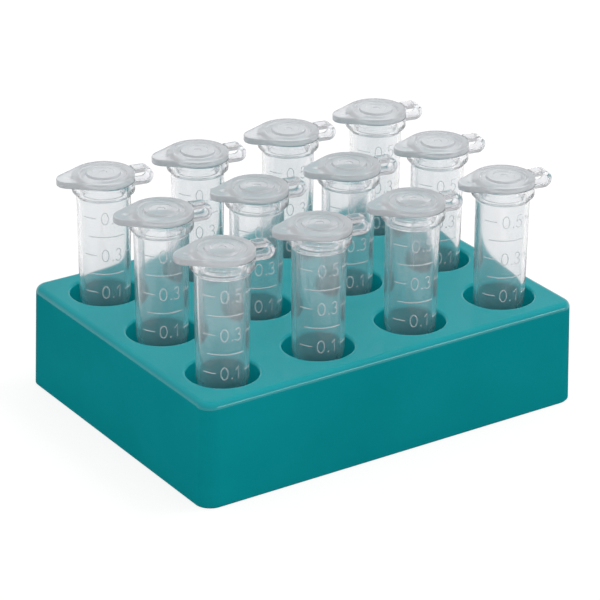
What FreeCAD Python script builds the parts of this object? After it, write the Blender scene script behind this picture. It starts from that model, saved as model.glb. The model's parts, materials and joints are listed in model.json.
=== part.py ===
import FreeCAD, Part
import math
import os

# Twelve 0.5 ml snap-cap microcentrifuge tubes standing in a solid moulded rack.
# Millimetres and degrees. +X runs along the rack's long side, +Y to its back, +Z up,
# and the origin is the middle of the rack's underside.

# ---- the set ---------------------------------------------------------------
PITCH = 16.0                # well to well, both ways
COLUMNS = 4                 # wells along X
ROWS = "abc"                # front, middle and back row
HINGE_HEADING = -10.0       # direction from a tube's axis to its hinge, from +X

# ---- rack ------------------------------------------------------------------
RACK_BASE_X = 64.8
RACK_BASE_Y = 49.2
RACK_HEIGHT = 15.9
RACK_DRAFT = 1.7            # lean of the side walls
RACK_CORNER_R = 2.6         # upright corners, at the base
RACK_TOP_EDGE_R = 1.0
RACK_FOOT_CHAMFER = 0.25

WELL_R = 5.14
WELL_RIM_R = 0.45           # rounding of the well's mouth
WELL_DEPTH = 6.0            # full width down to here, then a ledge
SEAT_GAP = 0.08             # between a tube's cone and the seat that holds it
SEAT_LEAD_IN = 0.5          # chamfer between the ledge and the seat

# ---- tube body, heights measured from the outside of its tip ---------------
TUBE_SUNK = 10.8            # how much of the tube stands below the rack's top
BARREL_FOOT_Z = 10.2        # where the cone ends and the barrel starts
BARREL_FOOT_R = 3.75
BARREL_TOP_Z = 26.25
BARREL_TOP_R = 3.96
CONE_SLOPE = 0.26           # radius gained per millimetre of height
WALL = 0.58
FLANGE_R = 4.6
FLANGE_CONE_RISE = 0.65     # slope under the flange
RIM_Z = 28.45
MOUTH_LEAD_IN = 0.2
MOUTH_LEAD_IN_DEPTH = 0.45
RIM_EDGE_R = 0.12

# ---- cap -------------------------------------------------------------------
CAP_GAP = 0.05              # between the tube's rim and the closed cap
CAP_THICKNESS = 1.0
CAP_EDGE_R = 0.22
THUMB_REACH = 7.1           # from the tube's axis to the tab's tip
THUMB_TIP_R = 1.9
DIMPLE_REACH = 5.2
DIMPLE_R = 0.6
DIMPLE_DEPTH = 0.15
GROOVE_OUTER_R = 3.5        # shallow ring groove in the cap's top
GROOVE_INNER_R = 2.6
GROOVE_DEPTH = 0.2
GROOVE_LEAN = 0.22          # how far its outer wall leans in
LAND_R = 2.45               # raised disc inside the groove
LAND_HEIGHT = 0.16
SAUCER_R = 1.6              # shallow hollow in the raised disc
SAUCER_DEPTH = 0.08
GATE_R = 0.5                # moulding gate mark, sunk in the middle
GATE_DEPTH = 0.1
PLUG_R = 3.25
PLUG_BORE_R = 2.6
PLUG_LENGTH = 1.9
PLUG_TAPER_LENGTH = 0.7
PLUG_TIP_R = 3.05
PLUG_BEADS = (0.4, 0.85)    # sealing beads: how far below the plate
PLUG_BEAD_R = 3.32
PLUG_BEAD_HALF = 0.14       # half a bead's height

# ---- living hinge strap ----------------------------------------------------
STRAP_WIDTH = 2.2
STRAP_THICKNESS = 0.6
STRAP_HEIGHT = 2.45         # over both runs of the folded strap
STRAP_PROUD = 0.1           # how far its upper run stands above the cap's plate
STRAP_REACH = 7.4           # from the tube's axis to the outside of the fold
STRAP_SPLIT = 0.05          # gap between the two leaves at the fold line
STRAP_ROOT_LOWER = 4.0      # where each run starts, inside the moulding it grows from
STRAP_ROOT_UPPER = 4.42

# ---- worked out ------------------------------------------------------------
CAP_UNDERSIDE_Z = RIM_Z + CAP_GAP
CAP_TOP_Z = CAP_UNDERSIDE_Z + CAP_THICKNESS
HINGE_Z = CAP_TOP_Z + STRAP_PROUD - STRAP_HEIGHT / 2
TUBE_BASE_Z = RACK_HEIGHT - TUBE_SUNK
ORIGIN = FreeCAD.Vector(0, 0, 0)
UP = FreeCAD.Vector(0, 0, 1)


def point(r, z):
    """A point of a turned profile: r from the axis, z up."""
    return FreeCAD.Vector(r, 0, z)


def line(start, end):
    return Part.LineSegment(point(*start), point(*end)).toShape()


def arc(start, middle, end):
    return Part.Arc(point(*start), point(*middle), point(*end)).toShape()


def polyline(points):
    return [line(a, b) for a, b in zip(points, points[1:])]


def turned(edges):
    """The solid that a closed profile sweeps about the Z axis."""
    face = Part.Face(Part.Wire(Part.__sortEdges__(edges)))
    return face.revolve(ORIGIN, UP, 360)


def cone_radius(z):
    """The tube's outside radius on its conical end."""
    return BARREL_FOOT_R - CONE_SLOPE * (BARREL_FOOT_Z - z)


def rounded_tip(inset):
    """Tip, middle and end of the round tip's quarter outline, inset from the outside."""
    secant = math.hypot(1, CONE_SLOPE)
    tip_r = cone_radius(0) / (secant - CONE_SLOPE)
    r = tip_r - inset
    lean = math.atan(CONE_SLOPE)
    middle = -(math.pi / 2 + lean) / 2
    return [
        (0, tip_r - r),
        (r * math.cos(middle), tip_r + r * math.sin(middle)),
        (r * math.cos(-lean), tip_r + r * math.sin(-lean)),
    ]


def rounded_rectangle(length, width, radius, z):
    """A closed wire in a level plane, with round corners."""
    x = length / 2 - radius
    y = width / 2 - radius
    half = math.sqrt(0.5)
    edges = []
    corners = [(x, y, 0), (-x, y, 90), (-x, -y, 180), (x, -y, 270)]
    ends = []
    for cx, cy, turn in corners:
        spin = FreeCAD.Rotation(UP, turn)
        centre = FreeCAD.Vector(cx, cy, z)
        a, m, b = [
            centre + spin.multVec(FreeCAD.Vector(*v, 0) * radius)
            for v in ((1, 0), (half, half), (0, 1))
        ]
        edges.append(Part.Arc(a, m, b).toShape())
        ends.append((a, b))
    for (_, b), (a, _) in zip(ends, ends[1:] + ends[:1]):
        edges.append(Part.LineSegment(b, a).toShape())
    return Part.Wire(Part.__sortEdges__(edges))


def well_cutter():
    """What a well takes out of the rack, standing at the rack's origin."""
    top = RACK_HEIGHT
    mouth_r = WELL_R + WELL_RIM_R
    ledge = top - WELL_DEPTH
    bend = WELL_RIM_R * (1 - math.sqrt(0.5))
    above = 1.0
    tip, middle, end = [(r, z + TUBE_BASE_Z) for r, z in rounded_tip(-SEAT_GAP)]
    seat_gap_r = SEAT_GAP * math.hypot(1, CONE_SLOPE)
    seat_top = ledge - SEAT_LEAD_IN
    seat_top_r = cone_radius(seat_top - TUBE_BASE_Z) + seat_gap_r
    edges = polyline([
        end,
        (seat_top_r, seat_top),
        (seat_top_r + SEAT_LEAD_IN, ledge),
        (WELL_R, ledge),
        (WELL_R, top - WELL_RIM_R),
    ])
    edges.append(arc((WELL_R, top - WELL_RIM_R), (WELL_R + bend, top - bend), (mouth_r, top)))
    edges += polyline([(mouth_r, top), (mouth_r, top + above), (0, top + above), tip])
    edges.append(arc(tip, middle, end))
    return turned(edges)


def wells():
    """Every well's name and place."""
    for row, letter in enumerate(ROWS):
        for column in range(COLUMNS):
            x = (column - (COLUMNS - 1) / 2) * PITCH
            y = (row - (len(ROWS) - 1) / 2) * PITCH
            yield f"{letter}{column + 1}", FreeCAD.Vector(x, y, 0)


def make_rack():
    shrink = 2 * RACK_HEIGHT * math.tan(math.radians(RACK_DRAFT))
    base = rounded_rectangle(RACK_BASE_X, RACK_BASE_Y, RACK_CORNER_R, 0)
    top = rounded_rectangle(
        RACK_BASE_X - shrink, RACK_BASE_Y - shrink, RACK_CORNER_R - shrink / 2, RACK_HEIGHT
    )
    block = Part.makeLoft([base, top], True, True)
    top_edges = [e for e in block.Edges if e.BoundBox.ZMin > RACK_HEIGHT - 1e-3]
    block = block.makeFillet(RACK_TOP_EDGE_R, top_edges)
    foot_edges = [e for e in block.Edges if e.BoundBox.ZMax < 1e-3]
    block = block.makeChamfer(RACK_FOOT_CHAMFER, foot_edges)
    cutter = well_cutter()
    for _, place in wells():
        block = block.cut(cutter.translated(place))
    return block


def make_tube_body():
    """Conical tip, slightly tapered barrel, flange and open mouth."""
    secant = math.hypot(1, CONE_SLOPE)
    taper = (BARREL_TOP_R - BARREL_FOOT_R) / (BARREL_TOP_Z - BARREL_FOOT_Z)
    inner_foot_z = BARREL_FOOT_Z + WALL * (secant - 1) / (CONE_SLOPE - taper)
    inner_foot_r = cone_radius(inner_foot_z) - WALL * secant
    mouth_r = BARREL_TOP_R - WALL
    lead_in_z = RIM_Z - MOUTH_LEAD_IN_DEPTH
    outside = rounded_tip(0)
    inside = rounded_tip(WALL)
    edges = [arc(*outside), arc(*inside), line(outside[0], inside[0])]
    edges += polyline([
        outside[2],
        (BARREL_FOOT_R, BARREL_FOOT_Z),
        (BARREL_TOP_R, BARREL_TOP_Z),
        (FLANGE_R, BARREL_TOP_Z + FLANGE_CONE_RISE),
        (FLANGE_R, RIM_Z - RIM_EDGE_R),
        (FLANGE_R - RIM_EDGE_R, RIM_Z),
        (mouth_r + MOUTH_LEAD_IN, RIM_Z),
        (mouth_r, lead_in_z),
        (mouth_r, BARREL_TOP_Z),
        (inner_foot_r, inner_foot_z),
        inside[2],
    ])
    return turned(edges)


def teardrop(z, height):
    """The cap's outline, a disc with a pointed thumb tab along -X, as a plate."""
    tip_x = THUMB_REACH - THUMB_TIP_R
    spread = math.acos((FLANGE_R - THUMB_TIP_R) / tip_x)
    cos_a = math.cos(spread)
    sin_a = math.sin(spread)

    def on(centre_x, radius, side):
        return FreeCAD.Vector(-centre_x - radius * cos_a, side * radius * sin_a, z)

    edges = [
        Part.Arc(on(0, FLANGE_R, 1), FreeCAD.Vector(FLANGE_R, 0, z), on(0, FLANGE_R, -1)).toShape(),
        Part.LineSegment(on(0, FLANGE_R, -1), on(tip_x, THUMB_TIP_R, -1)).toShape(),
        Part.Arc(
            on(tip_x, THUMB_TIP_R, -1), FreeCAD.Vector(-THUMB_REACH, 0, z), on(tip_x, THUMB_TIP_R, 1)
        ).toShape(),
        Part.LineSegment(on(tip_x, THUMB_TIP_R, 1), on(0, FLANGE_R, 1)).toShape(),
    ]
    return Part.Face(Part.Wire(Part.__sortEdges__(edges))).extrude(UP * height)


def make_cap():
    """Teardrop plate, a ring groove round a raised disc on top, and a hollow plug below."""
    plate = teardrop(CAP_UNDERSIDE_Z, CAP_THICKNESS)
    top_edges = [e for e in plate.Edges if e.BoundBox.ZMin > CAP_TOP_Z - 1e-3]
    plate = plate.makeFillet(CAP_EDGE_R, top_edges)

    groove_z = CAP_TOP_Z - GROOVE_DEPTH
    land_z = CAP_TOP_Z + LAND_HEIGHT
    saucer_z = land_z - SAUCER_DEPTH
    above = land_z + 1
    land = Part.makeCylinder(LAND_R, LAND_HEIGHT, point(0, CAP_TOP_Z))
    relief = turned(polyline([
        (0, above),
        (GROOVE_OUTER_R, above),
        (GROOVE_OUTER_R, CAP_TOP_Z),
        (GROOVE_OUTER_R - GROOVE_LEAN, groove_z),
        (GROOVE_INNER_R, groove_z),
        (LAND_R, land_z),
        (SAUCER_R, land_z),
        (SAUCER_R - SAUCER_DEPTH, saucer_z),
        (GATE_R + GATE_DEPTH, saucer_z),
        (GATE_R, saucer_z - GATE_DEPTH),
        (0, saucer_z - GATE_DEPTH),
        (0, above),
    ]))

    plug_foot = CAP_UNDERSIDE_Z - PLUG_LENGTH
    beads = []
    for below in PLUG_BEADS:
        z = CAP_UNDERSIDE_Z - below
        beads += [(PLUG_R, z + PLUG_BEAD_HALF), (PLUG_BEAD_R, z), (PLUG_R, z - PLUG_BEAD_HALF)]
    plug = turned(polyline([
        (PLUG_BORE_R, CAP_UNDERSIDE_Z),
        (PLUG_R, CAP_UNDERSIDE_Z),
        *beads,
        (PLUG_R, plug_foot + PLUG_TAPER_LENGTH),
        (PLUG_TIP_R, plug_foot),
        (PLUG_BORE_R, plug_foot),
        (PLUG_BORE_R, CAP_UNDERSIDE_Z),
    ]))

    ball_r = (DIMPLE_R ** 2 + DIMPLE_DEPTH ** 2) / (2 * DIMPLE_DEPTH)
    ball_centre = FreeCAD.Vector(-DIMPLE_REACH, 0, CAP_TOP_Z - DIMPLE_DEPTH + ball_r)
    dimple = Part.makeSphere(ball_r, ball_centre)
    return plate.fuse([land, plug]).cut(relief).cut(dimple).removeSplitter()


def make_strap():
    """The whole folded strap along +X: two level runs joined by a half round."""
    outer = STRAP_HEIGHT / 2
    inner = outer - STRAP_THICKNESS
    bend_x = STRAP_REACH - outer
    start_x = STRAP_ROOT_LOWER
    rise = [
        (start_x, HINGE_Z + inner),
        (bend_x, HINGE_Z + inner),
        (bend_x, HINGE_Z - inner),
        (start_x, HINGE_Z - inner),
        (start_x, HINGE_Z - outer),
        (bend_x, HINGE_Z - outer),
        (bend_x, HINGE_Z + outer),
        (start_x, HINGE_Z + outer),
    ]
    edges = [
        line(rise[0], rise[1]),
        arc(rise[1], (bend_x + inner, HINGE_Z), rise[2]),
        line(rise[2], rise[3]),
        line(rise[3], rise[4]),
        line(rise[4], rise[5]),
        arc(rise[5], (STRAP_REACH, HINGE_Z), rise[6]),
        line(rise[6], rise[7]),
        line(rise[7], rise[0]),
    ]
    face = Part.Face(Part.Wire(Part.__sortEdges__(edges)))
    face.translate(FreeCAD.Vector(0, -STRAP_WIDTH / 2, 0))
    return face.extrude(FreeCAD.Vector(0, STRAP_WIDTH, 0))


def strap_leaf(strap, start_x, low_z, high_z, neighbour):
    """The part of the strap between two levels, trimmed to the moulding it grows from."""
    slab = Part.makeBox(
        STRAP_REACH, STRAP_WIDTH, high_z - low_z,
        FreeCAD.Vector(start_x, -STRAP_WIDTH / 2, low_z),
    )
    leaf = strap.common(slab).cut(neighbour)
    return max(leaf.Solids, key=lambda solid: solid.Volume)


def make_tube_parts():
    """The four mouldings of one tube, its axis on Z, its tip at the origin, its hinge along +X."""
    body = make_tube_body()
    cap = make_cap()
    strap = make_strap()
    above = CAP_TOP_Z + 1
    return {
        "body": body,
        "cap": cap,
        "strap_lower": strap_leaf(strap, STRAP_ROOT_LOWER, 0, HINGE_Z - STRAP_SPLIT / 2, body),
        "strap_upper": strap_leaf(strap, STRAP_ROOT_UPPER, HINGE_Z + STRAP_SPLIT / 2, above, cap),
    }


def export(shape, node):
    solids = shape.Solids
    assert len(solids) == 1 and solids[0].isValid(), node
    solids[0].exportStep(f"parts/{node}.step")


def main():
    os.makedirs("parts", exist_ok=True)
    export(make_rack(), "rack")
    tube_parts = make_tube_parts()
    for name, place in wells():
        for piece, shape in tube_parts.items():
            placed = shape.copy()
            placed.rotate(ORIGIN, UP, HINGE_HEADING)
            placed.translate(place + UP * TUBE_BASE_Z)
            export(placed, f"tube_{name}_{piece}")


main()
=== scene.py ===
import json
import math

import bpy
from mathutils import Matrix, Vector

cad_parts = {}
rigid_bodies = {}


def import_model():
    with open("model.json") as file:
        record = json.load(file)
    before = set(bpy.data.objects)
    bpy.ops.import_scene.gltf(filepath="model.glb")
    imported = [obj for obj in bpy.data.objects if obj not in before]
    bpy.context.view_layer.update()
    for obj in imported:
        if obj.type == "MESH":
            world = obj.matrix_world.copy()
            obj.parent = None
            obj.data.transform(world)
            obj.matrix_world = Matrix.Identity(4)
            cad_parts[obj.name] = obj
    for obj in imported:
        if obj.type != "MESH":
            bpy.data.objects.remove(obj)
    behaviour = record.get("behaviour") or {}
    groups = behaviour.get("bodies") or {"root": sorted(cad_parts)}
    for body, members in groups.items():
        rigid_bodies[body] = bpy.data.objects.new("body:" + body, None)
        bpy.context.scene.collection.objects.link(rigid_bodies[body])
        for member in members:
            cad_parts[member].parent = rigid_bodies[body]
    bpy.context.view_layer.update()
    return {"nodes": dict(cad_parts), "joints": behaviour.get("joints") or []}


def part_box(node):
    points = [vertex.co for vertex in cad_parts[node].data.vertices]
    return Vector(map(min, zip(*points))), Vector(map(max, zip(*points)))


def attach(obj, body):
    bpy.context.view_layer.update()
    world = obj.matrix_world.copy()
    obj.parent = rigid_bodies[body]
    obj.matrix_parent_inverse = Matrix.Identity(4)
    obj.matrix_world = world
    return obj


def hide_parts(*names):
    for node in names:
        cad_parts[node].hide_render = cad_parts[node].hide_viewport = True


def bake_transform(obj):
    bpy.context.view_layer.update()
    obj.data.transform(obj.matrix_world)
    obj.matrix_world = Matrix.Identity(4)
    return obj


# Twelve clear snap-cap tubes in a glossy teal rack, built around the CAD frame.
# The frame is in metres, +Z up. The sizes below are in millimetres.

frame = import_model()

MM = 0.001
ROWS = "abc"
COLUMNS = 4
TUBES = [f"{row}{column + 1}" for row in ROWS for column in range(COLUMNS)]
JOINTS = {joint["name"]: joint for joint in frame["joints"]}
RACK_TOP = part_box("rack")[1].z

# ---- tube body, heights from the outside of its tip -----------------------
BARREL_FOOT = (3.75, 10.2)          # radius and height where the cone ends
BARREL_TOP = (3.96, 26.25)
CONE_SLOPE = 0.26
WALL = 0.58
FLANGE_CONE_RISE = 0.65
MOUTH_LEAD_IN = 0.2
MOUTH_LEAD_IN_DEPTH = 0.45
TURNED_SEGMENTS = 96

# ---- cap -------------------------------------------------------------------
CAP_GAP = 0.05
CAP_THICKNESS = 1.0
CAP_EDGE_R = 0.22
CAP_FOOT_R = 0.1
THUMB_REACH = 7.1
THUMB_TIP_R = 1.9
DIMPLE_REACH = 5.2
DIMPLE_R = 0.65
DIMPLE_DEPTH = 0.15
PLUG_R = 3.25
PLUG_BORE_R = 2.6
PLUG_LENGTH = 1.9
PLUG_TAPER_LENGTH = 0.7
PLUG_TIP_R = 3.05
PLUG_BEADS = (0.4, 0.85)            # sealing beads: how far below the plate
PLUG_BEAD_R = 3.32
PLUG_BEAD_HALF = 0.14
UNDERSIDE_R = 4.1                   # inside this the underside's rings are round
CAP_TOP = [                         # radius, height above the plate, rounding
    (0.0, -0.02, 0),
    (0.50, -0.02, 0.06),
    (0.60, 0.08, 0.06),
    (1.52, 0.08, 0.06),
    (1.60, 0.16, 0.06),
    (2.45, 0.16, 0.06),
    (2.60, -0.20, 0.06),
    (3.28, -0.20, 0.08),
    (3.50, 0.0, 0.08),
]
CAP_STEPS = 144
CAP_CROWDING = 0.6                  # how much closer the mesh is at the thumb tab

# ---- strap -----------------------------------------------------------------
STRAP_WIDTH = 2.2
STRAP_THICKNESS = 0.6
STRAP_HEIGHT = 2.45
STRAP_EDGE_R = 0.18
STRAP_ROOT_UPPER = 4.45
STRAP_ROOT_LOWER = 4.12

# ---- graduations -----------------------------------------------------------
MARK_TURN = math.radians(-91)       # the marks' middle, from the hinge's heading
MARK_LOWEST = 12.2
MARK_STEP = 2.91
MARK_LEVELS = {str(tenth): MARK_LOWEST + MARK_STEP * (tenth - 1) for tenth in range(1, 6)}
NUMBERED = "531"
TICK_R = 0.08
DIGIT_R = 0.075
POINT_R = 0.12
STROKE_SUNK = 0.03                  # how far a stroke's middle lies inside the wall
DIGIT_HEIGHT = 1.84
DIGIT_WIDTH = 1.0
LEFT_TICK = (-65, -36)              # degrees round from the marks' middle
RIGHT_TICK = (31, 55)
LONG_TICK = (-54, 27)
ZERO_AT = -17
POINT_AT = -0.7
POINT_HALF_WIDTH = 1.0
DIGIT_AT = 12.5


# ---------------------------------------------------------------------------
# Mesh helpers
# ---------------------------------------------------------------------------

def add_mesh(name, points, faces, scale=MM):
    mesh = bpy.data.meshes.new(name)
    mesh.from_pydata([Vector(p) * scale for p in points], [], faces)
    mesh.validate()
    mesh.shade_smooth()
    mesh.update()
    return mesh


def add_object(name, mesh, *materials):
    obj = bpy.data.objects.new(name, mesh)
    bpy.context.scene.collection.objects.link(obj)
    for material in materials:
        mesh.materials.append(material)
    return obj


def rounded_path(corners, steps=5, hold=0.04):
    """A polyline of (a, b, rounding) corners with each corner turned into an arc, and a point
    held just beyond each arc so that flat stretches stay flat when shaded smooth."""
    path = []
    last = len(corners) - 1
    for i, (a, b, rounding) in enumerate(corners):
        here = Vector((a, b))
        if i in (0, last) or rounding <= 0:
            path.append(here)
            continue
        back = (Vector(corners[i - 1][:2]) - here)
        ahead = (Vector(corners[i + 1][:2]) - here)
        turn = math.pi - back.angle(ahead)
        cut = rounding * math.tan(turn / 2)
        cut = min(cut, 0.48 * back.length, 0.48 * ahead.length)
        radius = cut / math.tan(turn / 2)
        back.normalize()
        ahead.normalize()
        start = here + back * cut
        middle = (back + ahead).normalized() * (radius / math.cos(turn / 2)) + here
        sweep = (start - middle).angle_signed(here + ahead * cut - middle)
        path.append(start + back * min(hold, cut * 0.3))
        for k in range(steps + 1):
            angle = -sweep * k / steps
            arm = start - middle
            path.append(middle + Vector((
                arm.x * math.cos(angle) - arm.y * math.sin(angle),
                arm.x * math.sin(angle) + arm.y * math.cos(angle),
            )))
        path.append(here + ahead * (cut + min(hold, cut * 0.3)))
    return path


def rings_to_mesh(rings):
    """Points and faces of a skin over rings of equal length; a ring of one point is a pole."""
    points, faces, starts = [], [], []
    for ring in rings:
        starts.append(len(points))
        points.extend(ring)
    for (a, ring_a), (b, ring_b) in zip(zip(starts, rings), zip(starts[1:], rings[1:])):
        count = max(len(ring_a), len(ring_b))
        for i in range(count):
            j = (i + 1) % count
            if len(ring_a) == 1:
                faces.append((a, b + j, b + i))
            elif len(ring_b) == 1:
                faces.append((a + i, a + j, b))
            else:
                faces.append((a + i, a + j, b + j, b + i))
    return points, faces


def turned_rings(path, segments=TURNED_SEGMENTS):
    rings = []
    for r, z in path:
        if r < 1e-6:
            rings.append([(0, 0, z)])
            continue
        rings.append([
            (r * math.cos(2 * math.pi * i / segments), r * math.sin(2 * math.pi * i / segments), z)
            for i in range(segments)
        ])
    return rings


# ---------------------------------------------------------------------------
# Materials
# ---------------------------------------------------------------------------

def new_material(name):
    material = bpy.data.materials.new(name)
    material.use_nodes = True
    nodes = material.node_tree.nodes
    shader = nodes["Principled BSDF"]
    return material, material.node_tree, shader


def add_noise(tree, scale, detail=3.0, stretch=(1, 1, 1)):
    """A noise texture over object coordinates; scale is in features per metre."""
    coordinates = tree.nodes.new("ShaderNodeTexCoord")
    mapping = tree.nodes.new("ShaderNodeMapping")
    mapping.inputs["Scale"].default_value = stretch
    noise = tree.nodes.new("ShaderNodeTexNoise")
    noise.inputs["Scale"].default_value = scale
    noise.inputs["Detail"].default_value = detail
    tree.links.new(coordinates.outputs["Object"], mapping.inputs["Vector"])
    tree.links.new(mapping.outputs["Vector"], noise.inputs["Vector"])
    return noise


def ramp_between(tree, source, low, high, start=0.35, end=0.65):
    ramp = tree.nodes.new("ShaderNodeValToRGB")
    ramp.color_ramp.elements[0].position = start
    ramp.color_ramp.elements[1].position = end
    ramp.color_ramp.elements[0].color = (*low, 1)
    ramp.color_ramp.elements[1].color = (*high, 1)
    tree.links.new(source, ramp.inputs["Fac"])
    return ramp


def add_bump(tree, source, distance, strength, shader):
    bump = tree.nodes.new("ShaderNodeBump")
    bump.inputs["Distance"].default_value = distance
    bump.inputs["Strength"].default_value = strength
    tree.links.new(source, bump.inputs["Height"])
    tree.links.new(bump.outputs["Normal"], shader.inputs["Normal"])


def range_map(tree, source, low, high):
    node = tree.nodes.new("ShaderNodeMapRange")
    node.inputs["To Min"].default_value = low
    node.inputs["To Max"].default_value = high
    tree.links.new(source, node.inputs["Value"])
    return node.outputs["Result"]


def math_node(tree, operation, *values, clamp=False):
    """A Math node over sockets or numbers."""
    node = tree.nodes.new("ShaderNodeMath")
    node.operation = operation
    node.use_clamp = clamp
    for socket, value in zip(node.inputs, values):
        if isinstance(value, (int, float)):
            socket.default_value = value
        else:
            tree.links.new(value, socket)
    return node.outputs["Value"]


def teal_plastic():
    """Glossy injection-moulded teal: near-even colour, faint flow clouding, soft waviness."""
    material, tree, shader = new_material("rack_teal")
    cloud = add_noise(tree, 60, detail=4)
    tone = ramp_between(tree, cloud.outputs["Fac"], (0.0020, 0.305, 0.340), (0.0032, 0.335, 0.372))
    tree.links.new(tone.outputs["Color"], shader.inputs["Base Color"])
    tree.links.new(range_map(tree, cloud.outputs["Fac"], 0.03, 0.07), shader.inputs["Roughness"])
    shader.inputs["IOR"].default_value = 1.46
    wave = add_noise(tree, 220, detail=2)
    add_bump(tree, wave.outputs["Fac"], 0.00004, 0.25, shader)
    return material


def clear_plastic(name, colour, roughness, clearness, wave_depth, ior=1.49):
    """Moulded polypropylene: see-through with a slight milkiness and uneven surface."""
    material, tree, shader = new_material(name)
    cloud = add_noise(tree, 450, detail=3, stretch=(1, 1, 0.35))
    low = tuple(c * 0.985 for c in colour)
    tone = ramp_between(tree, cloud.outputs["Fac"], low, colour)
    tree.links.new(tone.outputs["Color"], shader.inputs["Base Color"])
    tree.links.new(
        range_map(tree, cloud.outputs["Fac"], roughness * 0.7, roughness * 1.3),
        shader.inputs["Roughness"],
    )
    shader.inputs["IOR"].default_value = ior
    shader.inputs["Transmission Weight"].default_value = clearness
    wave = add_noise(tree, 260, detail=1, stretch=(1, 1, 0.4))
    add_bump(tree, wave.outputs["Fac"], wave_depth, 0.3, shader)
    return material


TEAL = teal_plastic()
CLEAR = clear_plastic("tube_clear", (0.908, 0.915, 0.925), 0.09, 0.96, 0.00002)
MARKS = clear_plastic("tube_marks", (0.86, 0.88, 0.90), 0.2, 0.74, 0.00001)
FROSTED = clear_plastic("cap_frosted", (0.705, 0.725, 0.752), 0.18, 0.48, 0.00001)
PLUG = clear_plastic("plug_clear", (0.98, 0.985, 0.99), 0.08, 0.93, 0.00001, ior=1.25)
STRAP = clear_plastic("strap_clear", (0.90, 0.905, 0.93), 0.16, 0.93, 0.00001)


# ---------------------------------------------------------------------------
# Tube body
# ---------------------------------------------------------------------------

def rounded_tip(inset, steps=9):
    """The round tip's quarter outline, from the axis to where the cone starts."""
    secant = math.hypot(1, CONE_SLOPE)
    foot_r, foot_z = BARREL_FOOT
    tip_r = (foot_r - CONE_SLOPE * foot_z) / (secant - CONE_SLOPE)
    radius = tip_r - inset
    start = -math.pi / 2
    end = -math.atan(CONE_SLOPE)
    path = []
    for i in range(steps + 1):
        angle = start + (end - start) * i / steps
        path.append((radius * math.cos(angle), tip_r + radius * math.sin(angle)))
    path[0] = (0, tip_r - radius)
    return path


def tube_mesh(rim_z, flange_r):
    secant = math.hypot(1, CONE_SLOPE)
    foot_r, foot_z = BARREL_FOOT
    top_r, top_z = BARREL_TOP
    taper = (top_r - foot_r) / (top_z - foot_z)
    inner_foot_z = foot_z + WALL * (secant - 1) / (CONE_SLOPE - taper)
    inner_foot_r = foot_r - CONE_SLOPE * (foot_z - inner_foot_z) - WALL * secant
    mouth_r = top_r - WALL
    outside = rounded_tip(0)
    inside = rounded_tip(WALL)
    side = rounded_path([
        (*outside[-1], 0),
        (foot_r, foot_z, 2.0),
        (top_r, top_z, 0.5),
        (flange_r, top_z + FLANGE_CONE_RISE, 0.3),
        (flange_r, rim_z, 0.14),
        (mouth_r + MOUTH_LEAD_IN, rim_z, 0.1),
        (mouth_r, rim_z - MOUTH_LEAD_IN_DEPTH, 0.3),
        (mouth_r, top_z, 3.0),
        (inner_foot_r, inner_foot_z, 2.0),
        (*inside[-1], 0),
    ])
    path = outside[:-1] + [tuple(p) for p in side] + inside[-2::-1]
    return add_mesh("tube_body", *rings_to_mesh(turned_rings(path)))


# ---------------------------------------------------------------------------
# Graduations: raised strokes that follow the wall
# ---------------------------------------------------------------------------

def bow(centre, radii, start, end, steps=14):
    """Part of an ellipse, in shares of the digit's width and height, angles in degrees."""
    path = []
    for i in range(steps + 1):
        angle = math.radians(start + (end - start) * i / steps)
        path.append((centre[0] + radii[0] * math.cos(angle), centre[1] + radii[1] * math.sin(angle)))
    return path


DIGITS = {
    "0": [bow((0, 0), (0.5, 0.5), 90, 450, 28)],
    "1": [[(-0.32, 0.24), (0.16, 0.5), (0.16, -0.5)]],
    "3": [bow((-0.02, 0.25), (0.4, 0.25), 155, -90) + bow((-0.02, -0.25), (0.46, 0.25), 90, -155)],
    "5": [[(0.4, 0.5), (-0.3, 0.5), (-0.38, 0.03)] + bow((-0.02, -0.18), (0.46, 0.32), 135, -150, 18)],
}


def outer_radius(z):
    foot_r, foot_z = BARREL_FOOT
    top_r, top_z = BARREL_TOP
    if z < foot_z:
        return foot_r - CONE_SLOPE * (foot_z - z)
    return foot_r + (top_r - foot_r) * (z - foot_z) / (top_z - foot_z)


def on_wall(angle, z):
    """A point just inside the wall's outside surface; angle in degrees from the marks' middle."""
    r = outer_radius(z) - STROKE_SUNK
    turn = MARK_TURN + math.radians(angle)
    return (r * math.cos(turn), r * math.sin(turn), z)


def tick(span, z, steps=20):
    start, end = span
    return [on_wall(start + (end - start) * i / steps, z) for i in range(steps + 1)]


def digit_strokes(digit, angle, z):
    degrees_per_mm = math.degrees(1 / outer_radius(z))
    return [
        [on_wall(angle + u * DIGIT_WIDTH * degrees_per_mm, z + v * DIGIT_HEIGHT) for u, v in stroke]
        for stroke in DIGITS[digit]
    ]


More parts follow.
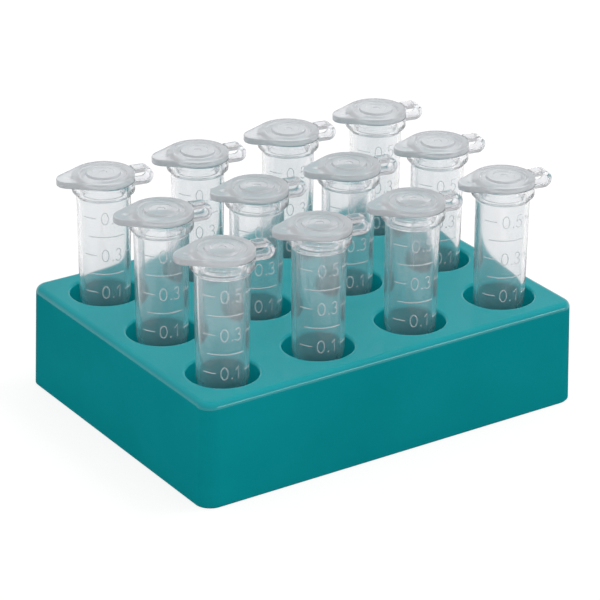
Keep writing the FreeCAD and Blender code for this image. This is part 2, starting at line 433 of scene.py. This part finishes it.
def marks_mesh():
    ticks, digits, points = [], [], []
    for label, z in MARK_LEVELS.items():
        if label not in NUMBERED:
            ticks.append(tick(LONG_TICK, z))
            continue
        ticks += [tick(LEFT_TICK, z), tick(RIGHT_TICK, z)]
        digits += digit_strokes("0", ZERO_AT, z)
        digits += digit_strokes(label, DIGIT_AT, z)
        point = (POINT_AT - POINT_HALF_WIDTH, POINT_AT + POINT_HALF_WIDTH)
        points.append(tick(point, z - DIGIT_HEIGHT / 2 + POINT_R, steps=2))
    curve = bpy.data.curves.new("marks", "CURVE")
    curve.dimensions = "3D"
    curve.bevel_depth = MM
    curve.bevel_resolution = 2
    curve.use_fill_caps = True
    for strokes, radius in ((ticks, TICK_R), (digits, DIGIT_R), (points, POINT_R)):
        for stroke in strokes:
            closed = (Vector(stroke[0]) - Vector(stroke[-1])).length < 1e-6
            places = stroke[:-1] if closed else stroke
            spline = curve.splines.new("POLY")
            spline.points.add(len(places) - 1)
            for spot, place in zip(spline.points, places):
                spot.co = (*(Vector(place) * MM), 1)
                spot.radius = radius
            spline.use_cyclic_u = closed
    holder = bpy.data.objects.new("marks_curve", curve)
    mesh = bpy.data.meshes.new_from_object(holder)
    mesh.name = "marks"
    bpy.data.objects.remove(holder)
    bpy.data.curves.remove(curve)
    mesh.shade_smooth()
    return mesh


# ---------------------------------------------------------------------------
# Cap
# ---------------------------------------------------------------------------

def thumb_outline(angle, flange_r):
    """The cap's edge, from the axis, at an angle from the thumb tab's direction."""
    tip_x = THUMB_REACH - THUMB_TIP_R
    spread = math.acos((flange_r - THUMB_TIP_R) / tip_x)
    angle = abs((angle + math.pi) % (2 * math.pi) - math.pi)
    tip_touch = math.atan2(
        THUMB_TIP_R * math.sin(spread), tip_x + THUMB_TIP_R * math.cos(spread)
    )
    if angle >= spread:
        return flange_r
    if angle > tip_touch:
        return flange_r / math.cos(spread - angle)
    reach = tip_x * math.cos(angle)
    return reach + math.sqrt(max(THUMB_TIP_R ** 2 - (tip_x * math.sin(angle)) ** 2, 0))


def cap_angles():
    """Angles from the thumb tab's direction, closer together near the tab."""
    even = [2 * math.pi * i / CAP_STEPS for i in range(CAP_STEPS)]
    return [a - CAP_CROWDING * math.sin(a) for a in even]


def smooth_step(value, start, end):
    t = min(max((value - start) / (end - start), 0), 1)
    return t * t * (3 - 2 * t)


def cap_mesh(rim_z, flange_r):
    """Rings from the middle of the top, over the edge, and back under to the middle."""
    angles = cap_angles()
    outline = [thumb_outline(a, flange_r) for a in angles]
    under_z = rim_z + CAP_GAP
    top_z = under_z + CAP_THICKNESS
    rings = []

    def add_ring(radii, height):
        ring = []
        for angle, r in zip(angles, radii):
            x, y = r * math.cos(angle), r * math.sin(angle)
            ring.append((-x, -y, height(r, x, y)))
        rings.append(ring)

    def level(z):
        return lambda r, x, y: z

    def dimpled(z):
        def height(r, x, y):
            away = math.hypot(x - DIMPLE_REACH, y) / DIMPLE_R
            return z - DIMPLE_DEPTH * (1 - smooth_step(away, 0.25, 1.0))
        return height

    # the raised disc and the groove round it, from the middle out
    corners = [*CAP_TOP, (flange_r, 0, 0)]
    middle_path = rounded_path([(r, top_z + rise, rounding) for r, rise, rounding in corners], steps=3)
    rings.append([(0, 0, middle_path[0][1])])
    for r, z in middle_path[1:-1]:
        add_ring([r] * CAP_STEPS, level(z))
    last_r = middle_path[-2][0]

    # the top, out to the edge's rounding
    top_steps = 16
    for i in range(1, top_steps + 1):
        share = i / top_steps
        add_ring([last_r + (o - CAP_EDGE_R - last_r) * share for o in outline], dimpled(top_z))
    edge_steps = 5
    for i in range(1, edge_steps + 1):
        a = math.pi / 2 * i / edge_steps
        inset = CAP_EDGE_R * (1 - math.sin(a))
        add_ring([o - inset for o in outline], level(top_z - CAP_EDGE_R * (1 - math.cos(a))))

    # the underside of the plate, in to the plug
    foot_steps = 3
    for i in range(foot_steps + 1):
        a = math.pi / 2 * i / foot_steps
        inset = CAP_FOOT_R * (1 - math.cos(a))
        add_ring([o - inset for o in outline], level(under_z + CAP_FOOT_R * (1 - math.sin(a))))
    under_steps = 6
    for i in range(1, under_steps + 1):
        share = i / under_steps
        add_ring(
            [o - CAP_FOOT_R + (UNDERSIDE_R - o + CAP_FOOT_R) * share for o in outline], level(under_z)
        )

    # the plug
    plug_foot = under_z - PLUG_LENGTH
    beads = []
    for below in PLUG_BEADS:
        z = under_z - below
        beads += [
            (PLUG_R, z + PLUG_BEAD_HALF, 0.06),
            (PLUG_BEAD_R, z, 0.08),
            (PLUG_R, z - PLUG_BEAD_HALF, 0.06),
        ]
    plug = rounded_path([
        (UNDERSIDE_R, under_z, 0),
        (PLUG_R, under_z, 0.12),
        *beads,
        (PLUG_R, plug_foot + PLUG_TAPER_LENGTH, 0.6),
        (PLUG_TIP_R, plug_foot, 0.12),
        (PLUG_BORE_R, plug_foot, 0.12),
        (PLUG_BORE_R, under_z, 0.2),
        (0, under_z, 0),
    ], steps=3)
    for r, z in plug[1:-1]:
        add_ring([r] * CAP_STEPS, level(z))
    rings.append([(0, 0, under_z)])
    points, faces = rings_to_mesh(rings)
    mesh = add_mesh("cap", points, [face[::-1] for face in faces])
    for face in mesh.polygons:
        middle = face.center / MM
        face.material_index = int(middle.z < under_z + 0.02)    # the underside and plug are clear
    return mesh


# ---------------------------------------------------------------------------
# Strap
# ---------------------------------------------------------------------------

def strap_section(half_width, half_thickness, radius, steps=3):
    """A rounded rectangle as (across, outward) points."""
    section = []
    for turn in range(4):
        x = (half_width - radius) * (1 if turn in (0, 3) else -1)
        y = (half_thickness - radius) * (1 if turn in (0, 1) else -1)
        for i in range(steps + 1):
            a = math.pi / 2 * (turn + i / steps)
            section.append((x + radius * math.cos(a), y + radius * math.sin(a)))
    return section


def strap_mesh(hinge_x, hinge_z):
    """The folded strap, its fold's outside at hinge_x, from the cap round to the tube."""
    half = STRAP_THICKNESS / 2
    bend_r = STRAP_HEIGHT / 2 - half
    bend_x = hinge_x - STRAP_HEIGHT / 2
    stations = []
    straight_steps = 8
    for i in range(straight_steps):
        x = STRAP_ROOT_UPPER + (bend_x - STRAP_ROOT_UPPER) * i / straight_steps
        stations.append(((x, hinge_z + bend_r), (0, 1)))
    bend_steps = 32
    for i in range(bend_steps + 1):
        a = math.pi / 2 - math.pi * i / bend_steps
        out = (math.cos(a), math.sin(a))
        stations.append(((bend_x + bend_r * out[0], hinge_z + bend_r * out[1]), out))
    for i in range(1, straight_steps + 1):
        x = bend_x + (STRAP_ROOT_LOWER - bend_x) * i / straight_steps
        stations.append(((x, hinge_z - bend_r), (0, -1)))
    section = strap_section(STRAP_WIDTH / 2, half, STRAP_EDGE_R)
    rings = [
        [(x + out_x * n, across, z + out_z * n) for across, n in section]
        for (x, z), (out_x, out_z) in stations
    ]
    points, faces = rings_to_mesh(rings)
    count = len(section)
    faces.append(tuple(range(count))[::-1])
    faces.append(tuple(range(len(points) - count, len(points))))
    return add_mesh("strap", points, faces)


# ---------------------------------------------------------------------------
# Putting the tubes together
# ---------------------------------------------------------------------------

def build_tubes():
    low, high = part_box("tube_a1_body")
    rim_z = (high.z - low.z) / MM
    flange_r = (high.x - low.x) / 2 / MM
    hinge = JOINTS["cap_a1_hinge"]
    axis_x = (low.x + high.x) / 2
    axis_y = (low.y + high.y) / 2
    reach = Vector((hinge["pos_m"][0] - axis_x, hinge["pos_m"][1] - axis_y))
    heading = math.atan2(reach.y, reach.x)
    hinge_z = (hinge["pos_m"][2] - low.z) / MM

    body = tube_mesh(rim_z, flange_r)
    marks = marks_mesh()
    cap = cap_mesh(rim_z, flange_r)
    strap = strap_mesh(reach.length / MM, hinge_z)

    for tube in TUBES:
        low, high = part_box(f"tube_{tube}_body")
        place = Vector(((low.x + high.x) / 2, (low.y + high.y) / 2, low.z))
        stand = Matrix.Translation(place) @ Matrix.Rotation(heading, 4, "Z")
        for piece, mesh, materials, rider in (
            ("barrel", body, [CLEAR], f"tube_{tube}"),
            ("graduations", marks, [MARKS], f"tube_{tube}"),
            ("lid", cap, [FROSTED, PLUG], f"cap_{tube}"),
            ("hinge_strap", strap, [STRAP], None),
        ):
            own = mesh.copy()
            own.transform(stand)
            obj = add_object(f"{piece}_{tube}", own, *materials)
            obj.visible_shadow = False          # light reaches the rack through the plastic
            obj.visible_diffuse = piece in ("lid", "hinge_strap")
            if rider:
                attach(obj, rider)
                continue
            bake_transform(obj)
        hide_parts(f"tube_{tube}_body")
        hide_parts(f"tube_{tube}_cap")
        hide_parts(f"tube_{tube}_strap_lower", f"tube_{tube}_strap_upper")


def dress_rack():
    rack = frame["nodes"]["rack"]
    rack.data.materials.clear()
    rack.data.materials.append(TEAL)


# ---------------------------------------------------------------------------
# Camera, floor and light
# ---------------------------------------------------------------------------

CAMERA_YAW = math.radians(-34.03)       # 0 looks along +Y
CAMERA_ELEVATION = math.radians(24.62)
CAMERA_ROLL = math.radians(0.66)
CAMERA_DISTANCE = 446.0
CAMERA_LENS = 182.45                    # on a 36 mm frame
LOOK_RIGHT = -0.30                      # what the camera looks at, from the middle of the rack's top
LOOK_UP = -1.12
FLOOR_HALF = 6.0                        # metres
FLOOR_DROP = 0.02                       # how far the table lies under the rack
FLOOR_BASE = 0.22
FLOOR_GLOW = 0.82
FLOOR_BOUNCE = 0.3                      # how bright the table is for bounce light
FLOOR_MIRROR = 0.02                     # and in mirror images, close to the rack: a painted shadow round the rack, seen only in reflections
FLOOR_DIM = (34.0, 42.0)                # how far out the painted shadow in the table's mirror image goes from dim to bright
CEILING_START = 0.12                    # sine of the height where the walls start to darken
CEILING_FULL = 0.40                     # and where they are as dark as the ceiling
CEILING_LIGHT = 0.45
WALL_LIGHT = 0.9
SOFT_LIGHT = 0.85                       # what bounce light sees all round
LIGHT_BOUNCES = 40                      # enough for a ray through a row of tubes


def add_camera():
    cos_y, sin_y = math.cos(CAMERA_YAW), math.sin(CAMERA_YAW)
    cos_e, sin_e = math.cos(CAMERA_ELEVATION), math.sin(CAMERA_ELEVATION)
    forward = Vector((-sin_y * cos_e, cos_y * cos_e, -sin_e))
    level_right = Vector((cos_y, sin_y, 0))
    level_up = level_right.cross(forward)
    cos_r, sin_r = math.cos(CAMERA_ROLL), math.sin(CAMERA_ROLL)
    right = level_right * cos_r + level_up * sin_r
    up = level_up * cos_r - level_right * sin_r
    target = Vector((0, 0, RACK_TOP)) + right * LOOK_RIGHT * MM + up * LOOK_UP * MM
    data = bpy.data.cameras.new("camera")
    data.lens = CAMERA_LENS
    data.sensor_width = 36
    data.clip_start = 0.01
    data.clip_end = 30
    camera = bpy.data.objects.new("camera", data)
    bpy.context.scene.collection.objects.link(camera)
    turn = Matrix((right, up, -forward)).transposed().to_4x4()
    camera.matrix_world = Matrix.Translation(target - forward * CAMERA_DISTANCE * MM) @ turn
    bpy.context.scene.camera = camera


def near_rack(tree):
    """1 on the table close to the rack, fading to 0 further out: the mask of the painted shadow round
    the rack that only mirror images of the table show.
    """
    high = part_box("rack")[1]
    coordinates = tree.nodes.new("ShaderNodeTexCoord")
    spot = tree.nodes.new("ShaderNodeSeparateXYZ")
    tree.links.new(coordinates.outputs["Object"], spot.inputs["Vector"])
    beyond = []
    for axis, half in (("X", high.x), ("Y", high.y)):
        out = math_node(tree, "SUBTRACT", math_node(tree, "ABSOLUTE", spot.outputs[axis]), half)
        beyond.append(math_node(tree, "MAXIMUM", out, 0.0))
    squares = [math_node(tree, "MULTIPLY", out, out) for out in beyond]
    distance = math_node(tree, "SQRT", math_node(tree, "ADD", *squares))
    fade = tree.nodes.new("ShaderNodeMapRange")
    fade.inputs["From Min"].default_value = FLOOR_DIM[0] * MM
    fade.inputs["From Max"].default_value = FLOOR_DIM[1] * MM
    fade.inputs["To Min"].default_value = 1
    fade.inputs["To Max"].default_value = 0
    tree.links.new(distance, fade.inputs["Value"])
    return fade.outputs["Result"]


def add_floor():
    """A white table. The bounce light from it is dim, and its mirror image close round the rack carries
    a painted shadow, so that it doesn't wash the rack's colour out."""
    half = FLOOR_HALF
    points = [(-half, -half, 0), (half, -half, 0), (half, half, 0), (-half, half, 0)]
    mesh = add_mesh("floor", points, [(0, 1, 2, 3)], scale=1)
    material, tree, shader = new_material("floor_white")
    shader.inputs["Base Color"].default_value = (FLOOR_BASE, FLOOR_BASE, FLOOR_BASE, 1)
    shader.inputs["Roughness"].default_value = 0.9
    shader.inputs["Specular IOR Level"].default_value = 0.0
    shader.inputs["Emission Color"].default_value = (1, 1, 1, 1)
    shader.inputs["Emission Strength"].default_value = FLOOR_GLOW
    path = tree.nodes.new("ShaderNodeLightPath")
    # painted shadow: close to the rack the table turns dark in mirror images only
    reflected = math_node(
        tree, "SUBTRACT", path.outputs["Is Glossy Ray"], path.outputs["Is Transmission Ray"], clamp=True
    )
    reflected = math_node(tree, "MULTIPLY", reflected, near_rack(tree))
    surface = shader.outputs["BSDF"]
    bounced = path.outputs["Is Diffuse Ray"]
    for grey, share in ((FLOOR_BOUNCE, bounced), (FLOOR_MIRROR, reflected)):
        dim = tree.nodes.new("ShaderNodeBsdfDiffuse")
        dim.inputs["Color"].default_value = (grey, grey, grey, 1)
        mix = tree.nodes.new("ShaderNodeMixShader")
        tree.links.new(share, mix.inputs["Fac"])
        tree.links.new(surface, mix.inputs[1])
        tree.links.new(dim.outputs["BSDF"], mix.inputs[2])
        surface = mix.outputs["Shader"]
    tree.links.new(surface, tree.nodes["Material Output"].inputs["Surface"])
    floor = add_object("floor", mesh, material)
    floor.location.z = -FLOOR_DROP * MM


def add_softbox(name, direction, distance, size, power, in_mirror, in_bounce):
    """A rectangular lamp that faces the middle of the object from a direction."""
    data = bpy.data.lights.new(name, "AREA")
    data.shape = "RECTANGLE"
    data.size = size[0]
    data.size_y = size[1]
    data.energy = power
    lamp = bpy.data.objects.new(name, data)
    bpy.context.scene.collection.objects.link(lamp)
    out = Vector(direction).normalized()
    lamp.location = Vector((0, 0, RACK_TOP)) + out * distance
    lamp.rotation_euler = out.to_track_quat("Z", "Y").to_euler()
    lamp.visible_glossy = in_mirror
    lamp.visible_transmission = in_mirror
    lamp.visible_diffuse = in_bounce


def add_world():
    world = bpy.data.worlds.new("studio")
    bpy.context.scene.world = world
    world.use_nodes = True
    tree = world.node_tree
    background = tree.nodes["Background"]
    background.inputs["Color"].default_value = (1.0, 1.0, 1.0, 1)
    coordinates = tree.nodes.new("ShaderNodeTexCoord")
    direction = tree.nodes.new("ShaderNodeSeparateXYZ")
    tree.links.new(coordinates.outputs["Generated"], direction.inputs["Vector"])
    ceiling = tree.nodes.new("ShaderNodeMapRange")
    ceiling.interpolation_type = "SMOOTHSTEP"
    ceiling.inputs["From Min"].default_value = CEILING_START
    ceiling.inputs["From Max"].default_value = CEILING_FULL
    ceiling.inputs["To Min"].default_value = WALL_LIGHT
    ceiling.inputs["To Max"].default_value = CEILING_LIGHT
    tree.links.new(direction.outputs["Z"], ceiling.inputs["Value"])
    path = tree.nodes.new("ShaderNodeLightPath")
    strength = tree.nodes.new("ShaderNodeMix")
    tree.links.new(path.outputs["Is Diffuse Ray"], strength.inputs["Factor"])
    tree.links.new(ceiling.outputs["Result"], strength.inputs["A"])
    strength.inputs["B"].default_value = SOFT_LIGHT
    tree.links.new(strength.outputs["Result"], background.inputs["Strength"])


add_camera()
add_floor()
add_world()
add_softbox("overhead", (0.5, -0.15, 0.86), 0.7, (0.25, 0.25), 1.4, in_mirror=False, in_bounce=True)
add_softbox("window", (0.51, -0.84, 0.17), 0.9, (0.5, 0.16), 1.1, in_mirror=True, in_bounce=False)
dress_rack()
build_tubes()

scene = bpy.context.scene
scene.view_settings.view_transform = "Standard"
scene.cycles.max_bounces = LIGHT_BOUNCES
scene.cycles.transmission_bounces = LIGHT_BOUNCES
scene.cycles.transparent_max_bounces = LIGHT_BOUNCES
